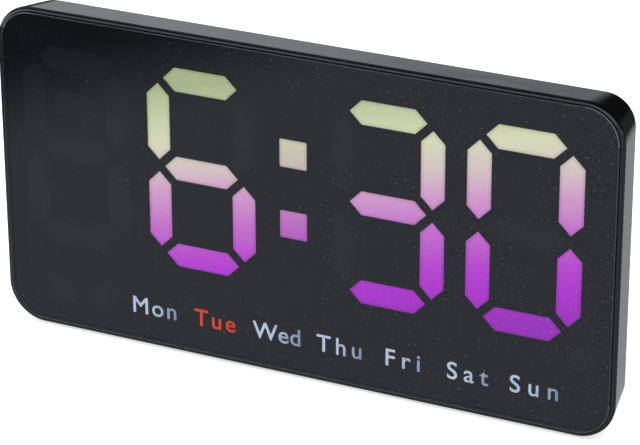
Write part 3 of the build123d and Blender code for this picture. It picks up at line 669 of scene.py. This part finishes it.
finishes = {
    housingBlack: ["front_frame"],
    legBlack: ["stand_leg"],
    lensMaterial: ["lens_panel"],
    tapeBlack: ["lens_tape"],
    maskInk: ["mask_film"],
    filmUnlit: ["gradient_film"],
    diffuserMilk: ["diffuser_sheet"],
    reflectorWhite: ["segment_reflector"],
    guideMilk: [
        "hour_tens_segments", "hour_segments", "minute_tens_segments", "minute_segments",
        "colon_dots", "weekday_windows", "status_windows",
    ],
    boardGreen: ["main_board"],
    ledClear: ["segment_leds", "legend_leds"],
    steelBright: ["board_screws", "crystal", "usb_socket", "cell_contacts", "stand_pin"],
    steelDark: ["cover_screws"],
    chipBlack: [
        "clock_chip", "display_drivers", "power_regulator", "buzzer", "tact_switches",
        "usb_tongue", "cell_holder",
    ],
    ceramicBrown: ["chip_resistors", "chip_capacitors"],
    buttonBlack: ["mode_button", "alarm_button", "up_button", "down_button"],
    plungerRed: ["mode_plunger", "alarm_plunger", "up_plunger", "down_plunger"],
    cellSteel: ["coin_cell"],
    coverBlack: ["rear_cover", "battery_cap"],
    rubberBlack: ["stand_pad", "foot_strip"],
    labelFoil: ["rear_label"],
}
for material, names in finishes.items():
    for name in names:
        nodes[name].data.materials.clear()
        nodes[name].data.materials.append(material)
print("materials on", sum(len(names) for names in finishes.values()), "pieces")


# Small helpers for shapes
def finishPiece(bm, name, material, body="clock"):
    # Turns a finished bmesh into a piece that rides on a body
    mesh = bpy.data.meshes.new(name)
    bm.to_mesh(mesh)
    bm.free()
    mesh.materials.append(material)
    piece = bpy.data.objects.new(name, mesh)
    bpy.context.scene.collection.objects.link(piece)
    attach(piece, body)


def pullFaces(bm, faces, depth, keep=False):
    # Extrudes faces along the clock's depth, and gives the new corners and the first new face
    made = bmesh.ops.extrude_face_region(bm, geom=faces, use_keep_orig=keep)["geom"]
    verts = [item for item in made if isinstance(item, bmesh.types.BMVert)]
    bmesh.ops.translate(bm, verts=verts, vec=(0, depth, 0))
    pulled = [item for item in made if isinstance(item, bmesh.types.BMFace)]
    return verts, pulled[0]


plateSteps = 16  # faces round each corner


def roundedPlate(bm, low, high, y, corner):
    # An upright face with rounded corners, facing the front
    plate = bmesh.ops.create_grid(bm, x_segments=1, y_segments=1, size=0.5)["verts"]
    bmesh.ops.rotate(bm, verts=plate, matrix=Matrix.Rotation(radians(90), 3, "X"))
    bmesh.ops.scale(bm, verts=plate, vec=(high.x - low.x, 1, high.z - low.z))
    bmesh.ops.translate(bm, verts=plate, vec=((low.x + high.x) / 2, y, (low.z + high.z) / 2))
    bmesh.ops.bevel(
        bm, geom=plate, offset=corner, segments=plateSteps, profile=0.5, affect="VERTICES",
        material=-1,
    )
    return max(bm.faces, key=lambda face: face.calc_area())


def insetRing(bm, face, thickness):
    return bmesh.ops.inset_individual(bm, faces=[face], thickness=thickness)["faces"]


# Lit segments: one plate of coloured light in each window of the mask that is on
segments = {
    "stroke": 6.4 * mm,
    "tipGap": 1.6 * mm,
    "play": 0.04 * mm,  # round each plate in its window
    "fade": 0.9 * mm,  # from a plate's edge to its full light
    "edgeLight": 0.72,
}
litSegments = {
    "hour_segments": "acdefg",
    "minute_tens_segments": "abcdg",
    "minute_segments": "abcdef",
}
colonShape = {"side": 7.5 * mm, "light": 0.87}  # a little dimmer than the digits


def lightPlate(bm, corners, level, light=1.0):
    # A flat plate in the film's plane whose light fades towards its edge
    low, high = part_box("mask_film")
    ring = [bm.verts.new((x, high.y - segments["play"], z)) for x, z in corners]
    plate = bm.faces.new(ring)
    moved, face = pullFaces(bm, [plate], low.y - high.y + 2 * segments["play"])
    for vert in ring + moved:
        vert[level] = segments["edgeLight"] * light
    bmesh.ops.inset_individual(
        bm, faces=[face], thickness=segments["fade"], use_even_offset=True
    )
    for vert in face.verts:
        vert[level] = light


def litDigit(name, lit):
    low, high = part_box(name)
    middle = (low + high) / 2
    right = (high.x - low.x - segments["stroke"]) / 2
    top = (high.z - low.z - segments["stroke"]) / 2
    lying, upright = right - segments["tipGap"], top / 2 - segments["tipGap"]
    # Each bar's middle, half length, and whether it stands
    places = {
        "a": (0, top, lying, False),
        "g": (0, 0, lying, False),
        "d": (0, -top, lying, False),
        "f": (-right, top / 2, upright, True),
        "b": (right, top / 2, upright, True),
        "e": (-right, -top / 2, upright, True),
        "c": (right, -top / 2, upright, True),
    }
    bm = bmesh.new()
    level = bm.verts.layers.float.new("lightLevel")
    half = segments["stroke"] / 2 - segments["play"]
    for letter in lit:
        x, z, tip, standing = places[letter]
        flat = tip - half
        shape = [
            (-tip, 0), (-flat, -half), (flat, -half), (tip, 0), (flat, half), (-flat, half)
        ]
        if standing:
            shape = [(-up, along) for along, up in shape]
        corners = [(middle.x + x + dx, middle.z + z + dz) for dx, dz in shape]
        lightPlate(bm, corners, level)
    bmesh.ops.recalc_face_normals(bm, faces=bm.faces)
    finishPiece(bm, name.replace("segments", "glow"), glowMaterial)


def litColon():
    low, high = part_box("colon_dots")
    reach = colonShape["side"] / 2
    half = reach - segments["play"]
    bm = bmesh.new()
    level = bm.verts.layers.float.new("lightLevel")
    middleX = (low.x + high.x) / 2
    square = ((-half, -half), (half, -half), (half, half), (-half, half))
    for z in (high.z - reach, low.z + reach):
        corners = [(middleX + dx, z + dz) for dx, dz in square]
        lightPlate(bm, corners, level, colonShape["light"])
    bmesh.ops.recalc_face_normals(bm, faces=bm.faces)
    finishPiece(bm, "colon_glow", glowMaterial)


for name, lit in litSegments.items():
    litDigit(name, lit)
litColon()
print("digits lit")


# Weekday legends: generic short words in front of a dark insert in each window
legend = {
    # Each word with its letter spacing, which is wider in the narrow words
    "words": {
        "Mon": 1.18, "Tue": 1.22, "Wed": 1.03, "Thu": 1.33, "Fri": 1.44, "Sat": 1.47,
        "Sun": 1.53,
    },
    "today": "Tue",
    "windowWidth": 14.6 * mm,
    "capHeight": 4.7 * mm,
    "capShare": 0.69,  # of the font's size
    "bold": 0.06 * mm,  # added to each stroke on both sides
    "merge": 0.001 * mm,
    "thickness": 0.03 * mm,
    "brightFrom": -1.5 * mm,  # each word is brightest left of its window's middle
    "brightTo": 6.5 * mm,
    "dimLevel": 0.2,
    "insertDepth": 0.8,  # of the film's thickness
    "insertCorner": 0.8 * mm,
    "insertSteps": 4,  # faces round each corner
}


def wordMesh(word, spacing, x, z, frontY):
    # The round bevel makes the strokes bolder, and the whole word is then pressed flat
    bold = legend["bold"]
    data = bpy.data.curves.new(word, "FONT")
    data.body = word
    data.size = (legend["capHeight"] - 2 * bold) / legend["capShare"]
    data.space_character = spacing
    data.extrude = bold
    data.bevel_depth = bold
    data.bevel_resolution = 0
    holder = bpy.data.objects.new(word, data)
    bpy.context.scene.collection.objects.link(holder)
    bpy.context.view_layer.update()
    mesh = bpy.data.meshes.new_from_object(holder)
    bpy.data.objects.remove(holder)
    edges = [vert.co.x for vert in mesh.vertices]
    shift = x - (min(edges) + max(edges)) / 2
    fullDepth = 4 * bold  # extrusion and bevel, on both sides
    mesh.transform(Matrix.Diagonal((1, 1, legend["thickness"] / fullDepth, 1)))
    mesh.transform(Matrix.Rotation(radians(90), 4, "X"))
    mesh.transform(Matrix.Translation((shift, frontY, z - legend["capHeight"] / 2)))
    return mesh


def lightWords(bm, pitch, first):
    # Every word fades to the right, away from the light behind its window
    bmesh.ops.remove_doubles(bm, verts=bm.verts, dist=legend["merge"])
    bmesh.ops.dissolve_degenerate(bm, edges=bm.edges, dist=legend["merge"])
    bmesh.ops.recalc_face_normals(bm, faces=bm.faces)
    level = bm.verts.layers.float.new("lightLevel")
    for vert in bm.verts:
        offset = (vert.co.x - first + pitch / 2) % pitch - pitch / 2
        share = (offset - legend["brightFrom"]) / (legend["brightTo"] - legend["brightFrom"])
        vert[level] = 1 - min(max(share, 0), 1) * (1 - legend["dimLevel"])


def weekdayRow():
    # The x of the first window's middle, the windows' pitch and the z of the row's middle
    low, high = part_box("weekday_windows")
    pitch = (high.x - low.x - legend["windowWidth"]) / (len(legend["words"]) - 1)
    return low.x + legend["windowWidth"] / 2, pitch, (low.z + high.z) / 2


def weekdayWords():
    first, pitch, z = weekdayRow()
    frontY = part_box("mask_film")[0].y
    pale, red = bmesh.new(), bmesh.new()
    for number, (word, spacing) in enumerate(legend["words"].items()):
        mesh = wordMesh(word, spacing, first + number * pitch, z, frontY)
        (red if word == legend["today"] else pale).from_mesh(mesh)
    lightWords(pale, pitch, first)
    lightWords(red, pitch, first)
    finishPiece(pale, "weekday_words", wordPale)
    finishPiece(red, "today_word", wordRed)


def windowInserts():
    # Black print that fills the weekday windows behind the words
    first, pitch, z = weekdayRow()
    low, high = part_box("weekday_windows")
    filmLow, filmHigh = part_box("mask_film")
    depth = (filmHigh.y - filmLow.y) * legend["insertDepth"]
    y = (filmLow.y + filmHigh.y) / 2
    bm = bmesh.new()
    for number in range(len(legend["words"])):
        made = bmesh.ops.create_cube(bm, size=1)["verts"]
        bmesh.ops.scale(bm, verts=made, vec=(legend["windowWidth"], depth, high.z - low.z))
        bmesh.ops.translate(bm, verts=made, vec=(first + number * pitch, y, z))
    through = [
        edge for edge in bm.edges if abs(edge.verts[0].co.y - edge.verts[1].co.y) > depth / 2
    ]
    bmesh.ops.bevel(
        bm, geom=through, offset=legend["insertCorner"], segments=legend["insertSteps"],
        profile=0.5, affect="EDGES", material=-1,
    )
    finishPiece(bm, "weekday_inserts", maskInk)


weekdayWords()
windowInserts()
print("weekday legends set")


# Border print: black ink round the back of the lens, over the tape, that hides the mask's edge
borderPrint = {
    "corner": 8.8 * mm,
    "tapeWidth": 3.0 * mm,
    "lip": 1.6 * mm,
    "ink": 0.02 * mm,
    "sunk": 0.03 * mm,  # the ink lies this deep in the glass, clear of the tape behind it
}


def makeBorderPrint():
    low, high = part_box("lens_tape")
    bm = bmesh.new()
    face = roundedPlate(bm, low, high, low.y - borderPrint["sunk"], borderPrint["corner"])
    rings = insetRing(bm, face, borderPrint["tapeWidth"]) + insetRing(bm, face, borderPrint["lip"])
    bmesh.ops.delete(bm, geom=[face], context="FACES")
    pullFaces(bm, rings, borderPrint["ink"], keep=True)
    bmesh.ops.recalc_face_normals(bm, faces=bm.faces)
    finishPiece(bm, "border_print", borderInk)


# Lens edge: the ground bevel round the lens, which catches light as a thin line
lensEdge = {
    "corner": 8.9 * mm,
    "bevel": 0.2 * mm,
    "skin": 0.008 * mm,
    "sunk": 0.002 * mm,  # keeps the skin's front inside the lens's own box
}


def makeLensEdge():
    low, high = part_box("lens_panel")
    bm = bmesh.new()
    face = roundedPlate(bm, low, high, low.y + lensEdge["sunk"], lensEdge["corner"])
    ring = insetRing(bm, face, lensEdge["bevel"])
    inner = set(face.verts)
    bmesh.ops.delete(bm, geom=[face], context="FACES_ONLY")
    outer = [vert for vert in bm.verts if vert not in inner]
    bmesh.ops.translate(bm, verts=outer, vec=(0, lensEdge["bevel"], 0))
    bmesh.ops.recalc_face_normals(bm, faces=ring)
    bmesh.ops.solidify(bm, geom=ring, thickness=lensEdge["skin"])
    finishPiece(bm, "lens_edge", groundEdge)


makeBorderPrint()
makeLensEdge()
print("lens finished")


# Print on the back: a plain sign under each button and the cap's marks
backPrint = {
    "drop": 6.6 * mm,  # from a button's middle to its sign
    "ink": 0.02 * mm,
    "sunk": 0.01 * mm,
    "bar": (2.8 * mm, 0.45 * mm),
    "barPitch": 0.95 * mm,
    "triangle": 1.5 * mm,  # half its width
    "triangleBase": 0.8,  # how far base and tip lie from the middle, as shares of that
    "triangleTip": 0.9,
    "bell": (
        (-1.5, -1.0), (1.5, -1.0), (1.0, -0.35), (0.95, 0.5), (0.55, 1.1), (0, 1.3),
        (-0.55, 1.1), (-0.95, 0.5), (-1.0, -0.35),
    ),
    "clapper": 0.35 * mm,
    "clapperDrop": 1.5 * mm,
    "clapperSides": 10,
}
capPrint = {
    "pointer": 12.0 * mm,  # from the cap's middle
    "pointerSize": 0.7,  # of the signs' triangle
    "marks": 15.8 * mm,
    "turn": radians(30),  # from the dot to the ring
    "radius": 0.75 * mm,
    "ring": 0.28 * mm,
    "sides": 20,
}


def printPlane():
    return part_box("rear_cover")[1].y - backPrint["sunk"]


def pressOut(bm, faces):
    pullFaces(bm, faces, backPrint["ink"] + backPrint["sunk"], keep=True)


def printOnBack(bm, corners, middle):
    # A flat shape on the back, given as seen from the front
    y = printPlane()
    ring = [bm.verts.new((middle.x + x, y, middle.z + z)) for x, z in corners]
    pressOut(bm, [bm.faces.new(ring)])


def circleCorners(radius, count):
    turns = [radians(360 * step / count) for step in range(count)]
    return [(radius * cos(turn), radius * sin(turn)) for turn in turns]


def triangleCorners(side, up=1):
    base, tip = side * backPrint["triangleBase"], side * backPrint["triangleTip"]
    return [(-side, -base * up), (side, -base * up), (0, tip * up)]


def buttonSigns():
    bm = bmesh.new()
    place = {}
    for name in ("mode", "alarm", "up", "down"):
        low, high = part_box(name + "_button")
        place[name] = (low + high) / 2 - Vector((0, 0, backPrint["drop"]))
    half, thin = (size / 2 for size in backPrint["bar"])
    bar = [(-half, -thin), (half, -thin), (half, thin), (-half, thin)]
    for row in (-1, 0, 1):
        printOnBack(bm, bar, place["mode"] + Vector((0, 0, row * backPrint["barPitch"])))
    printOnBack(bm, [(x * mm, z * mm) for x, z in backPrint["bell"]], place["alarm"])
    clapper = circleCorners(backPrint["clapper"], backPrint["clapperSides"])
    printOnBack(bm, clapper, place["alarm"] - Vector((0, 0, backPrint["clapperDrop"])))
    printOnBack(bm, triangleCorners(backPrint["triangle"]), place["up"])
    printOnBack(bm, triangleCorners(backPrint["triangle"], up=-1), place["down"])
    bmesh.ops.recalc_face_normals(bm, faces=bm.faces)
    finishPiece(bm, "button_signs", symbolPrint)


def capMarks():
    # A dot where the cap is locked, a ring where it is free, and a pointer on the cap
    low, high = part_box("battery_cap")
    middle = (low + high) / 2
    marks = bmesh.new()
    locked = middle + Vector((0, 0, capPrint["marks"]))
    printOnBack(marks, circleCorners(capPrint["radius"], capPrint["sides"]), locked)
    free = middle + Vector((sin(capPrint["turn"]), 0, cos(capPrint["turn"]))) * capPrint["marks"]
    made = bmesh.ops.create_circle(
        marks, cap_ends=True, segments=capPrint["sides"], radius=capPrint["radius"]
    )["verts"]
    bmesh.ops.rotate(marks, verts=made, matrix=Matrix.Rotation(radians(90), 3, "X"))
    bmesh.ops.translate(marks, verts=made, vec=(free.x, printPlane(), free.z))
    disc = made[0].link_faces[0]
    ring = insetRing(marks, disc, capPrint["ring"])
    bmesh.ops.delete(marks, geom=[disc], context="FACES")
    pressOut(marks, ring)
    bmesh.ops.recalc_face_normals(marks, faces=marks.faces)
    finishPiece(marks, "cap_marks", symbolPrint)
    pointer = bmesh.new()
    corners = triangleCorners(backPrint["triangle"] * capPrint["pointerSize"])
    printOnBack(pointer, corners, middle + Vector((0, 0, capPrint["pointer"])))
    bmesh.ops.recalc_face_normals(pointer, faces=pointer.faces)
    finishPiece(pointer, "cap_pointer", symbolPrint, "battery_cap_body")


# Insulating film on the back of the board, behind each keyhole
keyholeFilm = {
    "width": 22 * mm,
    "height": 26 * mm,
    "lift": 2 * mm,  # of the film's middle above the keyhole's
    "corner": 2 * mm,
    "thickness": 0.05 * mm,
}


def makeKeyholeFilm():
    mounts = {mount["name"]: mount for mount in frame["record"]["mounts"]}
    middle = Vector(mounts["keyhole_right"]["pos_m"]) + Vector((0, 0, keyholeFilm["lift"]))
    half = Vector((keyholeFilm["width"] / 2, 0, keyholeFilm["height"] / 2))
    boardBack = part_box("main_board")[1].y
    bm = bmesh.new()
    face = roundedPlate(bm, middle - half, middle + half, boardBack, keyholeFilm["corner"])
    pullFaces(bm, [face], keyholeFilm["thickness"])
    both = bm.verts[:] + bm.edges[:] + bm.faces[:]
    bmesh.ops.mirror(bm, geom=both, merge_dist=0, axis="X")
    bmesh.ops.recalc_face_normals(bm, faces=bm.faces)
    finishPiece(bm, "keyhole_film", tapeBlack)


buttonSigns()
capMarks()
makeKeyholeFilm()
print("back printed")
